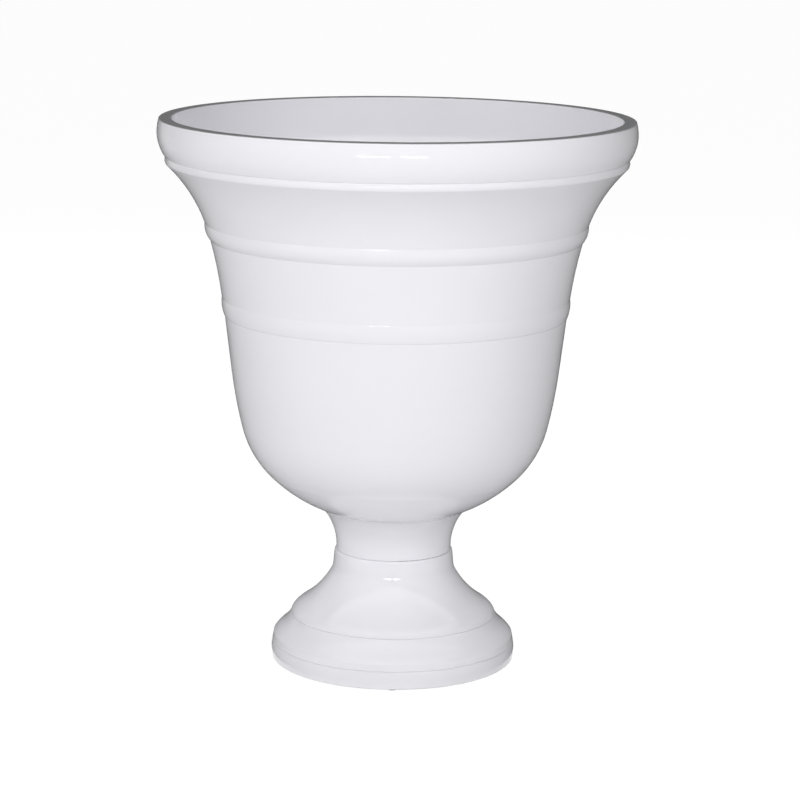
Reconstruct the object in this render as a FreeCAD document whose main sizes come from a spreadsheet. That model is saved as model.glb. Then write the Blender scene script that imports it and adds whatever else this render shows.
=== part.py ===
import FreeCAD, Part
import math
import os

import Sketcher
from FreeCAD import Placement, Rotation, Vector

# Urn planter: a moulded bowl with its own neck, which drops into a hollow foot.
# Millimetres, +Z up. The origin is on the ground, on the axis of the urn.
# Three radii lead: plinth, neck and rim. Every other radius is a step in or out from its
# neighbour, and every rise is counted from the level below it, so the levels stack up to the rim.

SIZES = {
    # Walls, rounded edges and gaps
    "wall": 5.0,
    "edge_round": 1.2,
    "fine_round": 0.8,
    "lift_gap": 0.4,
    # Foot, from the ground up to the seat of the bowl
    "pad_proud": 1.0,
    "plinth_radius": 105.3,
    "plinth_curve": 36.0,
    "plinth_rise": 14.4,
    "line_depth": 0.8,
    "line_rise": 1.5,
    "apron_inset": 0.3,
    "apron_lean": 1.0,
    "apron_rise": 5.4,
    "shoulder_inset": 5.5,
    "shoulder_rise": 5.9,
    "shoulder_curve": 40.0,
    "step_inset": 9.5,
    "step_rise": 11.0,
    "bead_tuck": 1.0,
    "bead_inset": 0.2,
    "bead_rise": 1.5,
    "crown_inset": 1.8,
    "crown_rise": 3.2,
    "flare_inset": 5.2,
    "flare_rise": 4.5,
    "throat_flare": 2.5,
    "throat_rise": 28.2,
    "collar_flare": 1.0,
    "collar_rise": 7.8,
    "lip_proud": 1.6,
    "lip_round": 2.0,
    "lip_rise": 12.9,
    # Inside of the foot
    "socket_room": 3.0,
    "socket_ledge": 7.0,
    "seat_chamfer": 0.5,
    "hollow_curve": 110.0,
    "flange_width": 17.0,
    "gusset_thickness": 3.0,
    "gusset_count": 6,
    "pad_radius": 5.5,
    "pad_sink": 1.5,
    "pad_fit": 0.15,
    "pad_count": 6,
    # Bowl: neck, belly, the two bands and the flared mouth
    "neck_radius": 49.6,
    "neck_foot_rise": 2.4,
    "neck_flare": 13.0,
    "neck_rise": 34.7,
    "neck_curve": 52.0,
    "neck_bead": 1.3,
    "underside_rise": 29.4,
    "belly_inset": 22.8,
    "flank_rise": 40.3,
    "flank_inset": 8.9,
    "body_rise": 48.4,
    "rim_overhang": 60.9,
    "body_taper": 5.9,
    "taper_rise": 49.5,
    "low_band_proud": 2.4,
    "low_band_rise": 15.6,
    "low_band_curve": 28.0,
    "lap_depth": 0.6,
    "lap_rise": 0.7,
    "drum_flare": 9.8,
    "drum_rise": 49.4,
    "drum_curve": 390.0,
    "high_band_proud": 4.5,
    "high_band_rise": 14.2,
    "high_band_curve": 17.5,
    "cavetto_rise": 50.1,
    "cavetto_curve": 130.0,
    "rim_bead_tuck": 0.2,
    "rim_bead_rise": 5.9,
    "rim_bead_curve": 5.5,
    "groove_depth": 1.1,
    "groove_rise": 0.9,
    "rim_roll": 4.6,
    "rim_curve": 35.3,
    "rim_rise": 31.3,
    "rim_radius": 201.0,
    "rim_width": 10.9,
    # Inside of the bowl: grid seat, sump in the neck, spigot and its keys, drain hole
    "bend_width": 2.5,
    "grid_seat_rise": 5.5,
    "mouth_wall": 9.6,
    "mouth_rise": 9.5,
    "seat_width": 4.1,
    "spigot_wall": 4.0,
    "spigot_depth": 24.0,
    "drain_radius": 9.0,
    "key_width": 8.0,
    "key_proud": 2.0,
    "key_rise": 2.0,
    "key_height": 16.0,
    "key_count": 3,
    # Drainage grid
    "grid_lap": 8.5,
    "grid_thickness": 3.0,
    "skirt_depth": 6.0,
    "skirt_wall": 2.0,
    "knob_radius": 10.0,
    "knob_thickness": 5.0,
    "knob_stem_radius": 5.5,
    "knob_stem_height": 11.0,
    "hole_radius": 2.5,
    "hole_ring_radius": 18.0,
    "hole_count": 8,
    "slot_width": 4.0,
    "slot_near": 28.0,
    "slot_margin": 6.6,
    "slot_count": 12,
    # Drain plug
    "plug_gap": 0.3,
    "plug_taper": 0.8,
    "plug_reach": 4.5,
    "plug_lap": 5.0,
    "plug_flange_thickness": 3.0,
    "tab_width": 16.0,
    "tab_height": 14.0,
    "tab_thickness": 4.0,
    "tab_round": 6.0,
}

# Slopes of the shell, as degrees from the vertical, where its inside is set off from its outside
FLANK_SLOPE = 14.5
BELLY_SLOPE = 44.5
FLARE_SLOPE = 57.0
SHOULDER_SLOPE = 50.0

# Sides on which an arc has its centre, seen along the way the outline is drawn
LEFT = 1
RIGHT = -1


class Length:
    """A length in millimetres, with the formula that ties it to the size sheet."""

    def __init__(self, value, formula):
        self.value = value
        self.formula = formula

    def __add__(self, other):
        return Length(self.value + other.value, f"{self.formula} + {other.formula}")

    def __sub__(self, other):
        return Length(self.value - other.value, f"{self.formula} - ({other.formula})")

    def __mul__(self, factor):
        return Length(self.value * factor, f"({self.formula}) * {factor:.6f}")


ZERO = Length(0.0, "0")


class Sheet:
    """The size sheet: one cell for each named size, read here under the same name."""

    def __init__(self, document):
        cells = document.addObject("Spreadsheet::Sheet", "Sizes")
        for row, (name, value) in enumerate(SIZES.items(), start=1):
            cells.set(f"A{row}", name)
            cells.set(f"B{row}", str(value))
            cells.setAlias(f"B{row}", name)
            setattr(self, name, Length(float(value), f"Sizes.{name}"))
        document.recompute()


class Levels:
    """Heights above the ground, stacked from the rises of the sheet."""

    def __init__(self, s):
        # Foot
        self.foot = s.pad_proud
        self.flange = self.foot + s.wall
        self.plinth = self.foot + s.plinth_rise
        self.line = self.plinth + s.line_rise
        self.apron = self.line + s.apron_rise
        self.shoulder = self.apron + s.shoulder_rise
        self.step = self.shoulder + s.step_rise
        self.bead = self.step + s.bead_rise
        self.crown = self.bead + s.crown_rise
        self.flare = self.crown + s.flare_rise
        self.throat = self.flare + s.throat_rise
        self.collar = self.throat + s.collar_rise
        self.seat = self.collar + s.lip_rise
        # Neck, and what lies inside it
        self.spigot = self.seat - s.spigot_depth
        self.socket = self.spigot - s.socket_room
        self.sump = self.spigot + s.wall
        self.neck = self.seat + s.neck_foot_rise
        self.neck_top = self.neck + s.neck_rise
        self.crease = self.neck_top + s.neck_bead
        self.grid = self.crease + s.grid_seat_rise
        # Bowl
        self.belly = self.crease + s.underside_rise
        self.flank = self.belly + s.flank_rise
        self.body = self.flank + s.body_rise
        self.low_crease = self.body + s.taper_rise
        self.low_band = self.low_crease + s.low_band_rise
        self.high_crease = self.low_band + s.drum_rise
        self.high_band = self.high_crease + s.high_band_rise
        self.cavetto = self.high_band + s.cavetto_rise
        self.groove = self.cavetto + s.rim_bead_rise
        self.rim = self.groove + s.groove_rise
        self.top = self.rim + s.rim_rise


class Radii:
    """Distances from the axis, each stepped in or out from one before it."""

    def __init__(self, s):
        # Foot, from the plinth in to the flare
        self.plinth = s.plinth_radius
        self.flange = self.plinth - s.flange_width
        self.pad_ring = self.plinth - s.flange_width * 0.5
        self.apron_foot = self.plinth - s.apron_inset
        self.apron = self.apron_foot - s.apron_lean
        self.shoulder = self.apron - s.shoulder_inset
        self.step = self.shoulder - s.step_inset
        self.bead = self.step - s.bead_inset
        self.crown = self.bead - s.crown_inset
        self.flare = self.crown - s.flare_inset
        # Neck, the collar that it rests on, and the spigot in its socket
        self.neck = s.neck_radius
        self.lip = self.neck + s.lip_proud
        self.collar = self.lip + s.collar_flare
        self.throat = self.collar + s.throat_flare
        self.spigot = self.neck - s.seat_width
        self.socket = self.spigot + s.lift_gap
        self.sump = self.spigot - s.spigot_wall
        self.key = self.spigot + s.key_proud
        # Top of the neck, and the grid that lies in it
        self.neck_top = self.neck + s.neck_flare
        self.crease = self.neck_top + s.neck_bead
        self.mouth = self.neck_top - s.mouth_wall
        self.grid = self.mouth + s.grid_lap
        self.skirt = self.mouth - s.lift_gap
        self.skirt_inner = self.skirt - s.skirt_wall
        # Bowl, from its body down to the belly and up to the high band
        self.body = s.rim_radius - s.rim_overhang
        self.flank = self.body - s.flank_inset
        self.belly = self.flank - s.belly_inset
        self.low_crease = self.body + s.body_taper
        self.low_band = self.low_crease + s.low_band_proud
        self.high_crease = self.low_band + s.drum_flare
        self.high_band = self.high_crease + s.high_band_proud
        # Rim, from its edge in to the hollow under it
        self.rim = s.rim_radius
        self.rim_inner = self.rim - s.rim_width
        self.rim_foot = self.rim - s.rim_roll
        self.groove = self.rim_foot - s.groove_depth
        self.cavetto = self.groove - s.rim_bead_tuck


def along(length, degrees):
    """The part of a length that runs sideways, and the part that runs up."""
    angle = math.radians(degrees)
    return length * math.cos(angle), length * math.sin(angle)


def origin_feature(body, role):
    """One of the body's own origin planes or axes."""
    return next(f for f in body.Origin.OriginFeatures if f.Role == role)


def flat_sketch(body, name, plane, height=ZERO):
    """An empty sketch on one of the body's origin planes, lifted along its normal."""
    sketch = body.newObject("Sketcher::SketchObject", name)
    sketch.AttachmentSupport = [(origin_feature(body, plane), "")]
    sketch.MapMode = "FlatFace"
    sketch.setExpression("AttachmentOffset.Base.z", height.formula)
    return sketch


def bind(sketch, kind, elements, length):
    """Add a dimension that follows a formula of the sheet."""
    index = sketch.addConstraint(Sketcher.Constraint(kind, *elements, length.value))
    sketch.setExpression(f"Constraints[{index}]", length.formula)


def place_point(sketch, geometry, point, across, up=ZERO):
    """Tie a point of the sketch to its two distances from the origin."""
    for kind, axis, length in (("DistanceX", -2, across), ("DistanceY", -1, up)):
        if length.value == 0:
            sketch.addConstraint(Sketcher.Constraint("PointOnObject", geometry, point, axis))
        else:
            bind(sketch, kind, (-1, 1, geometry, point), length)


class Outline:
    """A closed half section in the XZ plane, drawn corner by corner and tied to the sheet."""

    def __init__(self, body, name, radius, level):
        self.sketch = flat_sketch(body, name, "XZ_Plane")
        self.corners = [(radius, level)]
        self.edges = []
        self.ends = []
        self.curves = []
        self.smooth_joins = []
        self.heading = Vector(1, 0, 0)

    def _way(self, radius, level):
        last_radius, last_level = self.corners[-1]
        self.corners.append((radius, level))
        start = Vector(last_radius.value, last_level.value, 0)
        return start, Vector(radius.value, level.value, 0)

    def _add_arc(self, start, end, centre, side):
        first, last = (start, end) if side == LEFT else (end, start)
        turn_from = math.atan2(first.y - centre.y, first.x - centre.x)
        turn_to = math.atan2(last.y - centre.y, last.x - centre.x)
        whole = Part.Circle(centre, Vector(0, 0, 1), (start - centre).Length)
        self.edges.append(Part.ArcOfCircle(whole, turn_from, turn_to))
        self.ends.append((1, 2) if side == LEFT else (2, 1))
        spoke = end - centre
        self.heading = Vector(-spoke.y, spoke.x, 0).normalize() * side

    def line(self, radius, level):
        """A straight edge to the next corner."""
        start, end = self._way(radius, level)
        self.edges.append(Part.LineSegment(start, end))
        self.ends.append((1, 2))
        self.heading = (end - start).normalize()

    def arc(self, radius, level, curve, side):
        """An arc of a named radius to the next corner."""
        start, end = self._way(radius, level)
        chord = end - start
        reach = math.sqrt(curve.value**2 - chord.Length**2 / 4)
        left = Vector(-chord.y, chord.x, 0).normalize()
        centre = (start + end) * 0.5 + left * (reach * side)
        self.curves.append((len(self.edges), curve))
        self._add_arc(start, end, centre, side)

    def smooth(self, radius, level):
        """An arc to the next corner that leaves the last edge without a kink."""
        start, end = self._way(radius, level)
        chord = end - start
        left = Vector(-self.heading.y, self.heading.x, 0)
        spoke = chord.dot(chord) / (2 * chord.dot(left))
        self.smooth_joins.append(len(self.edges))
        self._add_arc(start, end, start + left * spoke, LEFT if spoke > 0 else RIGHT)

    def close(self):
        """A straight edge back to the first corner; then every corner and curve is tied."""
        self.line(*self.corners[0])
        self.sketch.addGeometry(self.edges)
        count = len(self.edges)
        for i in range(count):
            after = (i + 1) % count
            kind = "Tangent" if after in self.smooth_joins else "Coincident"
            join = (i, self.ends[i][1], after, self.ends[after][0])
            self.sketch.addConstraint(Sketcher.Constraint(kind, *join))
        for i, (radius, level) in enumerate(self.corners[1:]):
            place_point(self.sketch, i, self.ends[i][1], radius, level)
        for i, curve in self.curves:
            bind(self.sketch, "Radius", (i,), curve)
        return self.sketch


def turned(body, kind, name, outline):
    """A Revolution or a Groove: a closed outline turned about the vertical axis."""
    feature = body.newObject(f"PartDesign::{kind}", name)
    feature.Profile = outline.close()
    feature.ReferenceAxis = (outline.sketch, ["V_Axis"])
    feature.Angle = 360
    return feature


def around_axis(body, feature, name, count):
    """Repeat a feature evenly about the vertical axis."""
    pattern = body.newObject("PartDesign::PolarPattern", name)
    pattern.Originals = [feature]
    pattern.Axis = (origin_feature(body, "Z_Axis"), [""])
    pattern.Angle = 360
    pattern.setExpression("Occurrences", count.formula)
    body.Tip = pattern
    return pattern


def draw_circle(sketch, distance, radius):
    """A circle centred on the sketch's X axis."""
    centre = Vector(distance.value, 0, 0)
    index = sketch.addGeometry(Part.Circle(centre, Vector(0, 0, 1), radius.value))
    place_point(sketch, index, 3, distance)
    bind(sketch, "Radius", (index,), radius)


def draw_rectangle(sketch, near, far, width):
    """A rectangle along the sketch's X axis, centred on that axis."""
    half = width.value / 2
    corners = [
        Vector(near.value, -half, 0),
        Vector(far.value, -half, 0),
        Vector(far.value, half, 0),
        Vector(near.value, half, 0),
    ]
    sketch.addGeometry([Part.LineSegment(corners[i], corners[(i + 1) % 4]) for i in range(4)])
    for i in range(4):
        sketch.addConstraint(Sketcher.Constraint("Coincident", i, 2, (i + 1) % 4, 1))
    sketch.addConstraint(Sketcher.Constraint("Horizontal", 0))
    sketch.addConstraint(Sketcher.Constraint("Horizontal", 2))
    sketch.addConstraint(Sketcher.Constraint("Vertical", 3))
    sketch.addConstraint(Sketcher.Constraint("Symmetric", 0, 2, 1, 2, -1))
    bind(sketch, "DistanceX", (-1, 1, 0, 1), near)
    bind(sketch, "DistanceX", (-1, 1, 0, 2), far)
    bind(sketch, "DistanceY", (1, 1, 1, 2), width)


def draw_slot(sketch, near, far, width):
    """A round-ended slot along the sketch's X axis, from one end centre to the other."""
    half = width.value / 2
    inner = Vector(near.value, 0, 0)
    outer = Vector(far.value, 0, 0)
    side = Vector(0, half, 0)
    up = Vector(0, 0, 1)
    quarter = math.pi / 2
    sketch.addGeometry(
        [
            Part.LineSegment(inner - side, outer - side),
            Part.ArcOfCircle(Part.Circle(outer, up, half), -quarter, quarter),
            Part.LineSegment(outer + side, inner + side),
            Part.ArcOfCircle(Part.Circle(inner, up, half), quarter, 3 * quarter),
        ]
    )
    for i in range(4):
        sketch.addConstraint(Sketcher.Constraint("Tangent", i, 2, (i + 1) % 4, 1))
    place_point(sketch, 1, 3, far)
    place_point(sketch, 3, 3, near)
    bind(sketch, "Radius", (1,), width * 0.5)


def extruded(body, kind, sketch, name, length, reverse=False, midplane=False):
    """A Pad or a Pocket of a sketch."""
    feature = body.newObject(f"PartDesign::{kind}", name)
    feature.Profile = sketch
    feature.Reversed = reverse
    feature.Midplane = midplane
    feature.setExpression("Length", length.formula)
    return feature


def new_body(document, name, height=ZERO):
    """An empty body whose own ground lies at a height above the urn's."""
    body = document.addObject("PartDesign::Body", name)
    body.Label = name
    body.Placement = Placement(Vector(0, 0, height.value), Rotation())
    body.setExpression("Placement.Base.z", height.formula)
    return body


def bowl_outside(body, s, z, r):
    """Solid of the bowl's outer form, from the rim down to the tip of the spigot."""
    section = Outline(body, "BowlOutside", ZERO, z.top)
    # Rim: flat top, bulging band, roll under it and the shadow groove
    section.line(r.rim - s.edge_round, z.top)
    section.smooth(r.rim, z.top - s.edge_round)
    section.arc(r.rim_foot, z.rim, s.rim_curve, RIGHT)
    section.line(r.groove, z.groove)
    section.arc(r.cavetto, z.cavetto, s.rim_bead_curve, RIGHT)
    # Long hollow down to the high band, drum, low band and tapering body
    section.arc(r.high_band, z.high_band, s.cavetto_curve, LEFT)
    section.arc(r.high_crease + s.lap_depth, z.high_crease + s.lap_rise, s.high_band_curve, RIGHT)
    section.line(r.high_crease, z.high_crease)
    section.arc(r.low_band, z.low_band, s.drum_curve, LEFT)
    section.arc(r.low_crease + s.lap_depth, z.low_crease + s.lap_rise, s.low_band_curve, RIGHT)
    section.line(r.low_crease, z.low_crease)
    section.line(r.body, z.body)
    # Belly and underside
    section.smooth(r.flank, z.flank)
    section.smooth(r.belly, z.belly)
    section.smooth(r.crease, z.crease)
    # Fine bead and hollow neck, down to the shoulder that rests on the foot
    section.arc(r.neck_top, z.neck_top, s.neck_bead, RIGHT)
    section.arc(r.neck, z.neck, s.neck_curve, LEFT)
    section.line(r.neck, z.seat + s.fine_round)
    section.smooth(r.neck - s.fine_round, z.seat)
    # Spigot
    section.line(r.spigot, z.seat)
    section.line(r.spigot, z.spigot + s.edge_round)
    section.smooth(r.spigot - s.edge_round, z.spigot)
    section.line(ZERO, z.spigot)
    return turned(body, "Revolution", "BowlForm", section)


def bowl_inside(body, s, z, r):
    """The cavity: it follows the outer form one wall away, then narrows into the sump."""
    flank_in, flank_up = along(s.wall, FLANK_SLOPE)
    belly_in, belly_up = along(s.wall, BELLY_SLOPE)
    section = Outline(body, "BowlInside", ZERO, z.top)
    section.line(r.rim_inner + s.fine_round, z.top)
    section.arc(r.rim_inner, z.top - s.fine_round, s.fine_round, LEFT)
    section.line(r.rim_inner, z.groove)
    section.smooth(r.rim_inner - s.bend_width, z.cavetto)
    section.arc(r.high_band - s.wall, z.high_band, s.cavetto_curve + s.wall, LEFT)
    section.smooth(r.low_band - s.wall, z.low_band)
    section.line(r.body - s.wall, z.body)
    section.smooth(r.flank - flank_in, z.flank + flank_up)
    section.smooth(r.belly - belly_in, z.belly + belly_up)
    section.smooth(r.grid + s.fine_round, z.grid)
    section.line(r.mouth, z.grid)
    section.line(r.mouth, z.grid - s.mouth_rise)
    section.arc(r.neck - s.wall, z.neck, s.neck_curve + s.wall, LEFT)
    section.line(r.sump, z.seat)
    section.line(r.sump, z.sump)
    section.line(ZERO, z.sump)
    return turned(body, "Groove", "BowlCavity", section)


def build_bowl(document, s, z, r):
    """Bowl, neck and spigot in one moulding, with keys that stop it turning on the foot."""
    body = new_body(document, "bowl")
    bowl_outside(body, s, z, r)
    bowl_inside(body, s, z, r)

    drain_sketch = flat_sketch(body, "DrainCircle", "XY_Plane", z.sump)
    draw_circle(drain_sketch, ZERO, s.drain_radius)
    extruded(body, "Pocket", drain_sketch, "DrainHole", s.wall)

    key_sketch = flat_sketch(body, "KeySection", "XY_Plane", z.spigot + s.key_rise)
    draw_rectangle(key_sketch, r.spigot - s.spigot_wall * 0.5, r.key, s.key_width)
    key = extruded(body, "Pad", key_sketch, "Key", s.key_height)
    around_axis(body, key, "Keys", s.key_count)
    return body


def pedestal_outside(body, s, z, r):
    """Solid of the foot's outer form, from the seat of the bowl down to the ground ring."""
    section = Outline(body, "FootOutside", ZERO, z.seat)
    # Lip, collar and the long flare, rolled over into a bead
    section.line(r.lip - s.lip_round, z.seat)
    section.smooth(r.lip, z.seat - s.lip_round)
    section.line(r.collar, z.collar)
    section.smooth(r.throat, z.throat)
    section.smooth(r.flare, z.flare)
    section.smooth(r.crown, z.crown)
    section.smooth(r.bead, z.bead)
    section.line(r.step - s.bead_tuck, z.step + s.fine_round)
    # Step, hollow shoulder and apron
    section.line(r.step, z.step)
    section.arc(r.shoulder, z.shoulder, s.shoulder_curve, LEFT)
    section.smooth(r.apron, z.apron)
    section.line(r.apron_foot, z.line)
    # Fine line and plinth
    section.line(r.apron_foot - s.line_depth, z.line - s.line_rise * 0.5)
    section.line(r.plinth, z.plinth)
    section.arc(r.plinth, z.foot + s.edge_round, s.plinth_curve, RIGHT)
    section.smooth(r.plinth - s.edge_round, z.foot)
    section.line(ZERO, z.foot)
    return turned(body, "Revolution", "FootForm", section)


def pedestal_inside(body, s, z, r):
    """Socket for the spigot, and the hollow under it down to the ground ring."""
    flare_in, flare_down = along(s.wall, FLARE_SLOPE)
    shoulder_in, shoulder_down = along(s.wall, SHOULDER_SLOPE)
    section = Outline(body, "FootInside", ZERO, z.seat)
    section.line(r.socket + s.seat_chamfer, z.seat)
    section.line(r.socket, z.seat - s.seat_chamfer)
    section.line(r.socket, z.socket)
    section.line(r.socket + s.socket_ledge, z.socket)
    section.arc(r.flare - flare_in, z.flare - flare_down, s.hollow_curve, LEFT)
    section.line(r.shoulder - shoulder_in, z.shoulder - shoulder_down)
    section.line(r.plinth - s.wall, z.line)
    section.line(r.plinth - s.wall, z.flange)
    section.line(r.flange, z.flange)
    section.line(r.flange, z.foot)
    section.line(ZERO, z.foot)
    return turned(body, "Groove", "FootCavity", section)


def gusset(body, s, z, r):
    """One stiffening web, from the socket down to the ground ring, rooted inside the wall."""
    half_wall = s.wall * 0.5
    flare_in, flare_down = along(half_wall, FLARE_SLOPE)
    shoulder_in, shoulder_down = along(half_wall, SHOULDER_SLOPE)
    web_top = z.socket + s.fine_round
    web_foot = z.foot + half_wall
    web = Outline(body, "GussetOutline", r.socket + s.fine_round, web_top)
    web.line(r.throat, web_top)
    web.line(r.flare - flare_in, z.flare - flare_down)
    web.line(r.shoulder - shoulder_in, z.shoulder - shoulder_down)
    web.line(r.plinth - half_wall, z.plinth)
    web.line(r.plinth - half_wall, web_foot)
    web.line(r.flange + s.edge_round, web_foot)
    return extruded(body, "Pad", web.close(), "Gusset", s.gusset_thickness, midplane=True)


def ring_sketch(body, name, s, height=ZERO):
    """A level sketch turned half a step, so that the pads lie between the gussets."""
    sketch = flat_sketch(body, name, "XY_Plane", height)
    sketch.setExpression("AttachmentOffset.Rotation.Angle", f"180 / {s.pad_count.formula}")
    return sketch


def build_pedestal(document, s, z, r):
    """Hollow foot: socket with key slots, gussets inside, and pockets for the rubber pads."""
    body = new_body(document, "pedestal")
    pedestal_outside(body, s, z, r)
    pedestal_inside(body, s, z, r)
    around_axis(body, gusset(body, s, z, r), "Gussets", s.gusset_count)

    slot_sketch = flat_sketch(body, "KeySlotSection", "XY_Plane", z.seat)
    draw_rectangle(slot_sketch, r.spigot, r.key + s.lift_gap, s.key_width + s.lift_gap * 2)
    slot_depth = s.spigot_depth + s.socket_room
    slot_cut = extruded(body, "Pocket", slot_sketch, "KeySlot", slot_depth)
    around_axis(body, slot_cut, "KeySlots", s.key_count)

    pocket_sketch = ring_sketch(body, "PadPocketCircle", s, z.foot)
    draw_circle(pocket_sketch, r.pad_ring, s.pad_radius + s.pad_fit)
    pocket_cut = extruded(body, "Pocket", pocket_sketch, "PadPocket", s.pad_sink, reverse=True)
    around_axis(body, pocket_cut, "PadPockets", s.pad_count)
    return body


def build_foot_pads(document, s, r):
    """Rubber pads pressed into the ground ring, proud of it all round."""
    body = new_body(document, "foot_pads")
    sketch = ring_sketch(body, "PadCircle", s)
    draw_circle(sketch, r.pad_ring, s.pad_radius)
    single = extruded(body, "Pad", sketch, "SinglePad", s.pad_proud + s.pad_sink)
    around_axis(body, single, "PadRing", s.pad_count)
    return body


def build_drainage_grid(document, s, z, r):
    """Perforated disc with a lifting knob; its skirt centres it in the mouth of the neck."""
    body = new_body(document, "drainage_grid", z.grid - s.skirt_depth)
    disc_low = s.skirt_depth
    disc_top = disc_low + s.grid_thickness
    stem_top = disc_top + s.knob_stem_height
    knob_top = stem_top + s.knob_thickness
    section = Outline(body, "GridSection", ZERO, knob_top)
    section.line(s.knob_radius - s.edge_round, knob_top)
    section.smooth(s.knob_radius, knob_top - s.edge_round)
    section.line(s.knob_radius, stem_top + s.edge_round)
    section.line(s.knob_stem_radius, stem_top)
    section.line(s.knob_stem_radius, disc_top)
    section.line(r.grid - s.fine_round, disc_top)
    section.smooth(r.grid, disc_top - s.fine_round)
    section.line(r.grid, disc_low)
    section.line(r.skirt, disc_low)
    section.line(r.skirt, ZERO)
    section.line(r.skirt_inner, ZERO)
    section.line(r.skirt_inner, disc_low)
    section.line(ZERO, disc_low)
    turned(body, "Revolution", "GridForm", section)

    hole_sketch = flat_sketch(body, "HoleCircle", "XY_Plane", disc_top)
    draw_circle(hole_sketch, s.hole_ring_radius, s.hole_radius)
    hole = extruded(body, "Pocket", hole_sketch, "Hole", s.grid_thickness)
    around_axis(body, hole, "Holes", s.hole_count)

    slot_sketch = flat_sketch(body, "SlotOutline", "XY_Plane", disc_top)
    draw_slot(slot_sketch, s.slot_near, r.skirt_inner - s.slot_margin, s.slot_width)
    slot_cut = extruded(body, "Pocket", slot_sketch, "Slot", s.grid_thickness)
    around_axis(body, slot_cut, "Slots", s.slot_count)
    return body


def tab_corners(feature):
    """Names of the edges that run through a tab at its two top corners."""
    shape = feature.Shape
    top = shape.BoundBox.ZMax
    names = []
    for number, edge in enumerate(shape.Edges, start=1):
        ends = [vertex.Point for vertex in edge.Vertexes]
        if len(ends) == 2 and all(abs(end.z - top) < 0.001 for end in ends):
            if abs(ends[0].x - ends[1].x) < 0.001:
                names.append(f"Edge{number}")
    return names


def build_drain_plug(document, s, z):
    """Tapered stopper with a flange that lies on the sump floor and a tab to pull it by."""
    body = new_body(document, "drain_plug", z.spigot - s.plug_reach)
    stem_radius = s.drain_radius - s.plug_gap
    flange_radius = s.drain_radius + s.plug_lap
    flange_low = s.plug_reach + s.wall
    flange_top = flange_low + s.plug_flange_thickness
    section = Outline(body, "PlugSection", ZERO, flange_top)
    section.line(flange_radius - s.edge_round, flange_top)
    section.smooth(flange_radius, flange_top - s.edge_round)
    section.line(flange_radius, flange_low)
    section.line(stem_radius, flange_low)
    section.line(stem_radius - s.plug_taper, s.edge_round)
    section.line(stem_radius - s.plug_taper - s.edge_round, ZERO)
    section.line(ZERO, ZERO)
    turned(body, "Revolution", "PlugForm", section)

    # The tab stands on the flange: the sketch's X axis points up
    tab_sketch = flat_sketch(body, "TabOutline", "XZ_Plane")
    tab_sketch.AttachmentOffset = Placement(Vector(), Rotation(Vector(0, 0, 1), 90))
    draw_rectangle(tab_sketch, flange_low, flange_top + s.tab_height, s.tab_width)
    tab = extruded(body, "Pad", tab_sketch, "Tab", s.tab_thickness, midplane=True)
    document.recompute()

    rounding = body.newObject("PartDesign::Fillet", "TabRounding")
    rounding.Base = (tab, tab_corners(tab))
    rounding.setExpression("Radius", s.tab_round.formula)
    body.Tip = rounding
    return body


def check(document, bodies):
    """Stop if any object failed or any piece is empty or broken."""
    for item in document.Objects:
        if "Invalid" in item.State or "Error" in item.State:
            raise RuntimeError(f"{item.Name} failed: {item.State}")
    for body in bodies:
        if body.Shape.isNull() or not body.Shape.isValid():
            raise RuntimeError(f"{body.Label} has no sound shape")


def check_cuts(document):
    """Stop if a hole, slot or pocket took nothing away."""
    for item in document.Objects:
        if item.TypeId in ("PartDesign::Pocket", "PartDesign::Groove"):
            if item.Shape.Volume >= item.BaseFeature.Shape.Volume:
                raise RuntimeError(f"{item.Name} cuts nothing")


def write(body):
    """Write one piece's STEP file and print its size."""
    body.Shape.exportStep(f"parts/{body.Label}.step")
    box = body.Shape.BoundBox
    size = f"{box.XLength:.1f} x {box.YLength:.1f} x {box.ZLength:.1f} mm"
    volume = body.Shape.Volume / 1000
    print(f"{body.Label}: {size}, {len(body.Shape.Solids)} solid, {volume:.1f} cm3")


def main():
    document = FreeCAD.newDocument("UrnPlanter")
    s = Sheet(document)
    z = Levels(s)
    r = Radii(s)
    bodies = [
        build_pedestal(document, s, z, r),
        build_foot_pads(document, s, r),
        build_bowl(document, s, z, r),
        build_drainage_grid(document, s, z, r),
        build_drain_plug(document, s, z),
    ]
    document.recompute()
    check(document, bodies)
    check_cuts(document)
    os.makedirs("parts", exist_ok=True)
    for body in bodies:
        write(body)


main()
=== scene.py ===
import math

import bpy
from mathutils import Matrix, Vector


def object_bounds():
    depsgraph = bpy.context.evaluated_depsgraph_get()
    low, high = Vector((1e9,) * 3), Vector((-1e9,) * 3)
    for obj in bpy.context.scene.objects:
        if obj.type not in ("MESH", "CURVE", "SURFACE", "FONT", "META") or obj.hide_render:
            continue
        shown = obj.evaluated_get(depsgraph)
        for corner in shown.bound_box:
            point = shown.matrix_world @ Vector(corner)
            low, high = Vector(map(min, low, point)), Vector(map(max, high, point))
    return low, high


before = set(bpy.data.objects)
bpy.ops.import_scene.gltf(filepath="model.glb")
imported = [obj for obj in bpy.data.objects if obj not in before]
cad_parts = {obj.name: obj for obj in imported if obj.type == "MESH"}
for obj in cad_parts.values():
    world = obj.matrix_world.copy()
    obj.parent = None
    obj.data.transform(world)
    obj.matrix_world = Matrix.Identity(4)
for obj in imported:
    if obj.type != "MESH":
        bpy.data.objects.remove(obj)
cad_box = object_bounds()

# Camera of the photograph, from its 800 x 800 picture: metres and degrees
CAMERA_DISTANCE = 2.233
CAMERA_HEIGHT = 0.692
CAMERA_PITCH = 11.74
CAMERA_YAW = -0.111
CAMERA_ROLL = 0.603
FOCAL_PIXELS = 2650.4
PICTURE_WIDTH = 800
SENSOR_WIDTH = 36.0

# Flat top of the rim, down to where its rounding begins: it gets painted shade and a rougher finish
RIM_TOP = cad_box[1][2]
RIM_FLAT_START = RIM_TOP - 0.0007
RIM_FLAT_FULL = RIM_TOP - 0.0002

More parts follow.
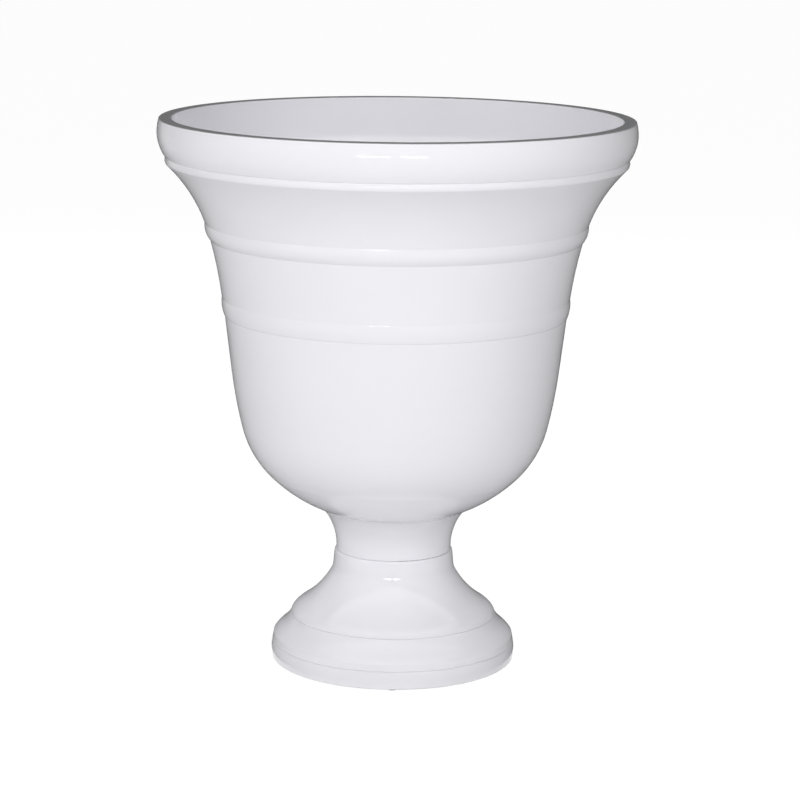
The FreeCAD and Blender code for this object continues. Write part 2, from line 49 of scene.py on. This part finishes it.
# Colours of the finishes: linear red, green and blue
SHELL_DIM = (0.785, 0.78, 0.815)
SHELL_BRIGHT = (0.815, 0.81, 0.845)
# Painted shade on the flat top of the rim: a dark grey that stands in for the little light falling
# on it
RIM_TOP_SHADE_DIM = (0.14, 0.14, 0.145)
RIM_TOP_SHADE_BRIGHT = (0.24, 0.24, 0.245)
PLASTIC_BLACK = (0.012, 0.012, 0.013)
PLASTIC_SCUFFED = (0.03, 0.03, 0.032)
PLUG_DARK = (0.018, 0.018, 0.02)
PLUG_BLOOM = (0.045, 0.045, 0.05)
PAD_DARK = (0.008, 0.008, 0.008)
PAD_BLOOM = (0.02, 0.02, 0.021)

# Detail of the finishes: features to a metre
CLOUD_SCALE = 9
WAVE_SCALE = 14
GLOSS_SCALE = 60
PEEL_SCALE = 420
RIM_TOP_NOISE_SCALE = 900
SCUFF_SCALE = 110
PLASTIC_GRAIN = 2600
BLOOM_SCALE = 170
PLUG_GRAIN = 1500
PAD_GRAIN = 1800

# Relief of the finishes: metres
WAVE_DEPTH = 0.00018
PEEL_DEPTH = 0.000003
PLASTIC_DEPTH = 0.00004
RUBBER_DEPTH = 0.00005

# Roughness of the finishes, from their glossiest spots to their dullest
SHELL_ROUGHNESS = (0.03, 0.06)
CUT_EXTRA_ROUGHNESS = (0.2, 0.4)
PLASTIC_ROUGHNESS = (0.42, 0.62)
RUBBER_ROUGHNESS = (0.6, 0.85)

# Noise from which a scuff or a bloom starts, and at which it is full
SCUFF_RANGE = (0.5, 0.75)
BLOOM_RANGE = (0.4, 0.7)

PLASTIC_IOR = 1.5
RUBBER_IOR = 1.52

# Studio: metres, and brightness where 1 is white
FLOOR_HALF = 14.0
FLOOR_GLOW = 0.97
FLOOR_TINT = 0.07
FLOOR_WHITE = 0.9
SKY_LIGHT = 0.1
FLAG_NEAR = 0.109
FLAG_FAR = 3.0
FLAG_TOP = 3.4
FLAG_LIFT = 0.004
FLAG_LEFT = 0.08
FLAG_RIGHT = 0.02
FLAG_SIDES = 64
WHITE = (1, 1, 1, 1)

# Lamps: degrees round the urn from the front (right is positive), degrees up from its middle,
# then metres of distance, width and height, and watts. The fills are hidden from reflections,
# so the gloss shows only the two low boxes under the camera and the strip behind, left.
MIDDLE = Vector((0, 0, (cad_box[0][2] + cad_box[1][2]) / 2))
FILLS = {
    "fill_low": (-6, 4, 2.4, 1.0, 0.4, 2.5),
    "fill_front_left": (-30, 30, 2.4, 1.0, 0.8, 20.5),
    "fill_front_right": (30, 30, 2.4, 1.0, 0.8, 17.0),
    "fill_left": (-100, 20, 2.4, 0.8, 1.2, 10.0),
    "fill_right": (80, 30, 2.4, 0.8, 1.0, 5.0),
    "fill_back": (180, 30, 2.4, 1.4, 1.0, 24.0),
    "fill_top": (0, 89, 2.2, 1.2, 1.2, 9.5),
}
GLINTS = {
    "box_left": (-10.5, 3, 2.3, 0.55, 0.12, 3.0),
    "box_right": (7.2, 3, 2.3, 0.45, 0.12, 2.6),
    "strip_left": (-134, 14, 1.15, 0.34, 0.80, 0.22),
}

# Sockets of the Mix node that take and give colours, which share their names with others
MIX_FIRST = 6
MIX_SECOND = 7
MIX_RESULT = 2


class Nodes:
    """A material's or a world's node tree, with short ways to add and join its nodes."""

    def __init__(self, owner):
        self.owner = owner
        owner.use_nodes = True
        self.tree = owner.node_tree
        self.tree.nodes.clear()

    def add(self, kind, settings=None, **inputs):
        """A new node; an input's name has _ for each space."""
        node = self.tree.nodes.new(kind)
        for key, value in (settings or {}).items():
            setattr(node, key, value)
        for key, value in inputs.items():
            self.put(node.inputs[key.replace("_", " ")], value)
        return node

    def put(self, socket, value):
        """Join an output to a socket, or set the socket to a plain value."""
        if hasattr(value, "is_output"):
            self.tree.links.new(value, socket)
        else:
            socket.default_value = value

    def math(self, operation, first, second=0.0):
        node = self.add("ShaderNodeMath", {"operation": operation})
        self.put(node.inputs[0], first)
        self.put(node.inputs[1], second)
        return node.outputs["Value"]

    def place(self):
        return self.add("ShaderNodeTexCoord").outputs["Object"]

    def noise(self, place, scale, detail=2.0, roughness=0.5):
        """Noise from 0 to 1; scale counts features to a metre."""
        inputs = {"Vector": place, "Scale": scale, "Detail": detail, "Roughness": roughness}
        return self.add("ShaderNodeTexNoise", **inputs).outputs["Fac"]

    def spread(self, value, low, high, start=0.0, end=1.0):
        """A value between start and end turned into one between low and high."""
        inputs = {"Value": value, "From_Min": start, "From_Max": end, "To_Min": low, "To_Max": high}
        return self.add("ShaderNodeMapRange", **inputs).outputs["Result"]

    def blend(self, share, first, second):
        """A colour between two others."""
        node = self.add("ShaderNodeMix", {"data_type": "RGBA"})
        self.put(node.inputs["Factor"], share)
        for index, color in ((MIX_FIRST, first), (MIX_SECOND, second)):
            self.put(node.inputs[index], color if hasattr(color, "is_output") else (*color, 1))
        return node.outputs[MIX_RESULT]

    def bump(self, height, depth, below=None):
        """Relief of a real depth in metres, over an earlier relief."""
        node = self.add("ShaderNodeBump", Height=height, Distance=depth, Strength=1.0)
        if below is not None:
            self.put(node.inputs["Normal"], below)
        return node.outputs["Normal"]

    def seen(self):
        """1 for a ray that shows the background: from the camera, a reflection or glass."""
        path = self.add("ShaderNodeLightPath").outputs
        direct = self.math("MAXIMUM", path["Is Camera Ray"], path["Is Glossy Ray"])
        return self.math("MAXIMUM", direct, path["Is Transmission Ray"])

    def finish(self, shader, kind="ShaderNodeOutputMaterial"):
        out = self.add(kind)
        self.tree.links.new(shader.outputs[0], out.inputs["Surface"])
        return self.owner


def new_material(name):
    return Nodes(bpy.data.materials.new(name))


def gloss_white():
    """Smooth moulded shell: slow waves, fine peel, a faint clouding, and a rougher rim top coloured
    dark grey as painted shade.
    """
    nodes = new_material("gloss_white")
    place = nodes.place()
    shader = nodes.add("ShaderNodeBsdfPrincipled", IOR=PLASTIC_IOR)
    height = nodes.add("ShaderNodeSeparateXYZ", Vector=place).outputs["Z"]
    rim_top_mask = nodes.spread(height, 0, 1, RIM_FLAT_START, RIM_FLAT_FULL)
    clouds = nodes.noise(place, CLOUD_SCALE, detail=3.0)
    skin = nodes.blend(clouds, SHELL_DIM, SHELL_BRIGHT)
    # Painted shade: the flat top of the rim is coloured dark grey, with a fine noise in it that
    # also sets its extra roughness
    rim_top_noise = nodes.noise(place, RIM_TOP_NOISE_SCALE, detail=4.0, roughness=0.7)
    rim_top_shade = nodes.blend(rim_top_noise, RIM_TOP_SHADE_DIM, RIM_TOP_SHADE_BRIGHT)
    nodes.put(shader.inputs["Base Color"], nodes.blend(rim_top_mask, skin, rim_top_shade))
    gloss = nodes.spread(nodes.noise(place, GLOSS_SCALE), *SHELL_ROUGHNESS)
    dull = nodes.math("MULTIPLY", rim_top_mask, nodes.spread(rim_top_noise, *CUT_EXTRA_ROUGHNESS))
    nodes.put(shader.inputs["Roughness"], nodes.math("ADD", gloss, dull))
    waves = nodes.bump(nodes.noise(place, WAVE_SCALE, detail=1.0), WAVE_DEPTH)
    peel = nodes.bump(nodes.noise(place, PEEL_SCALE, detail=1.0), PEEL_DEPTH, waves)
    nodes.put(shader.inputs["Normal"], peel)
    return nodes.finish(shader)


def grid_plastic():
    """Black moulded plastic with a fine spark-eroded grain and scuffs that turn it greyer."""
    nodes = new_material("grid_plastic")
    place = nodes.place()
    shader = nodes.add("ShaderNodeBsdfPrincipled", IOR=PLASTIC_IOR)
    marks = nodes.noise(place, SCUFF_SCALE, detail=4.0, roughness=0.7)
    scuffs = nodes.spread(marks, 0, 1, *SCUFF_RANGE)
    grain = nodes.noise(place, PLASTIC_GRAIN)
    nodes.put(shader.inputs["Base Color"], nodes.blend(scuffs, PLASTIC_BLACK, PLASTIC_SCUFFED))
    nodes.put(shader.inputs["Roughness"], nodes.spread(scuffs, *PLASTIC_ROUGHNESS))
    nodes.put(shader.inputs["Normal"], nodes.bump(grain, PLASTIC_DEPTH))
    return nodes.finish(shader)


def rubber(name, dark, pale, grain_scale):
    """Rubber with a pale bloom in patches and a dull grain."""
    nodes = new_material(name)
    place = nodes.place()
    shader = nodes.add("ShaderNodeBsdfPrincipled", IOR=RUBBER_IOR)
    patches = nodes.noise(place, BLOOM_SCALE, detail=5.0, roughness=0.65)
    bloom = nodes.spread(patches, 0, 1, *BLOOM_RANGE)
    grain = nodes.noise(place, grain_scale, detail=3.0)
    nodes.put(shader.inputs["Base Color"], nodes.blend(bloom, dark, pale))
    nodes.put(shader.inputs["Roughness"], nodes.spread(bloom, *RUBBER_ROUGHNESS))
    nodes.put(shader.inputs["Normal"], nodes.bump(grain, RUBBER_DEPTH))
    return nodes.finish(shader)


def dress(node, material):
    """Give a CAD node its finish, in place of the plain one that it came with."""
    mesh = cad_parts[node].data
    mesh.materials.clear()
    mesh.materials.append(material)


def make_camera():
    data = bpy.data.cameras.new("camera")
    data.sensor_width = SENSOR_WIDTH
    data.lens = SENSOR_WIDTH * FOCAL_PIXELS / PICTURE_WIDTH
    camera = bpy.data.objects.new("camera", data)
    stand = Matrix.Translation((0, -CAMERA_DISTANCE, CAMERA_HEIGHT))
    turn = Matrix.Rotation(math.radians(CAMERA_YAW), 4, "Z")
    tilt = Matrix.Rotation(math.radians(90 - CAMERA_PITCH), 4, "X")
    roll = Matrix.Rotation(math.radians(CAMERA_ROLL), 4, "Z")
    camera.matrix_world = stand @ turn @ tilt @ roll
    bpy.context.scene.collection.objects.link(camera)
    bpy.context.scene.camera = camera


def stage_piece(name, corners, faces, material):
    mesh = bpy.data.meshes.new(name)
    mesh.from_pydata(corners, [], faces)
    mesh.materials.append(material)
    piece = bpy.data.objects.new(name, mesh)
    bpy.context.scene.collection.objects.link(piece)
    return piece


def diffuse(nodes, brightness):
    """A plain matt grey of one brightness."""
    return nodes.add("ShaderNodeBsdfDiffuse", Color=(brightness, brightness, brightness, 1))


def floor_white():
    """White to whatever sees it, with a share of plain white that takes the urn's shadow."""
    nodes = new_material("floor_white")
    glow = nodes.add("ShaderNodeEmission", Color=WHITE, Strength=FLOOR_GLOW)
    shown = nodes.add("ShaderNodeAddShader")
    nodes.put(shown.inputs[0], glow.outputs[0])
    nodes.put(shown.inputs[1], diffuse(nodes, FLOOR_TINT).outputs[0])
    mixed = nodes.add("ShaderNodeMixShader", Fac=nodes.seen())
    nodes.put(mixed.inputs[1], diffuse(nodes, FLOOR_WHITE).outputs[0])
    nodes.put(mixed.inputs[2], shown.outputs[0])
    return nodes.finish(mixed)


def make_floor():
    size = FLOOR_HALF
    corners = [(-size, -size, 0), (size, -size, 0), (size, size, 0), (-size, size, 0)]
    stage_piece("floor", corners, [(0, 1, 2, 3)], floor_white())


def flag_grey():
    """Grey studio cloth, lighter to the left of the urn than to the right."""
    nodes = new_material("flag_grey")
    axes = nodes.add("ShaderNodeSeparateXYZ", Vector=nodes.place()).outputs
    turn = nodes.math("ARCTAN2", axes["X"], nodes.math("ABSOLUTE", axes["Y"]))
    grey = nodes.spread(turn, FLAG_LEFT, FLAG_RIGHT, -math.pi / 2, math.pi / 2)
    glow = nodes.add("ShaderNodeEmission", Color=WHITE, Strength=grey)
    return nodes.finish(glow)


def make_flag():
    """A ring of cloth on the floor and round the studio, which only reflections show."""
    outline = [(FLAG_NEAR, FLAG_LIFT), (FLAG_FAR, FLAG_LIFT), (FLAG_FAR, FLAG_TOP)]
    points = len(outline)
    corners = []
    faces = []
    for side in range(FLAG_SIDES):
        angle = 2 * math.pi * side / FLAG_SIDES
        corners += [(r * math.cos(angle), r * math.sin(angle), z) for r, z in outline]
        here = points * side
        there = points * ((side + 1) % FLAG_SIDES)
        faces += [(here + k, there + k, there + k + 1, here + k + 1) for k in range(points - 1)]
    flag = stage_piece("flag", corners, faces, flag_grey())
    flag.visible_camera = False
    flag.visible_diffuse = False
    flag.visible_transmission = False
    flag.visible_shadow = False


def make_lamp(name, turn, rise, distance, width, height, power):
    """A soft box that faces the middle of the urn."""
    data = bpy.data.lights.new(name, "AREA")
    data.shape = "RECTANGLE"
    data.size = width
    data.size_y = height
    data.energy = power
    lamp = bpy.data.objects.new(name, data)
    turn = math.radians(turn)
    rise = math.radians(rise)
    level = math.cos(rise)
    way = Vector((math.sin(turn) * level, -math.cos(turn) * level, math.sin(rise)))
    lamp.location = MIDDLE + way * distance
    lamp.rotation_euler = (-way).to_track_quat("-Z", "Y").to_euler()
    lamp.visible_camera = False
    bpy.context.scene.collection.objects.link(lamp)
    return lamp


def make_world():
    """White to whatever sees it, and a faint even light on the urn."""
    nodes = Nodes(bpy.data.worlds.new("studio"))
    strength = nodes.spread(nodes.seen(), SKY_LIGHT, 1.0)
    sky = nodes.add("ShaderNodeBackground", Color=WHITE, Strength=strength)
    bpy.context.scene.world = nodes.finish(sky, "ShaderNodeOutputWorld")


shell = gloss_white()
dress("bowl", shell)
dress("pedestal", shell)
dress("drainage_grid", grid_plastic())
dress("drain_plug", rubber("plug_rubber", PLUG_DARK, PLUG_BLOOM, PLUG_GRAIN))
dress("foot_pads", rubber("pad_rubber", PAD_DARK, PAD_BLOOM, PAD_GRAIN))
make_camera()
make_floor()
make_flag()
make_world()
for lamp_name, lamp_values in FILLS.items():
    make_lamp(lamp_name, *lamp_values).visible_glossy = False
for lamp_name, lamp_values in GLINTS.items():
    make_lamp(lamp_name, *lamp_values)
bpy.context.scene.view_settings.view_transform = "Standard"
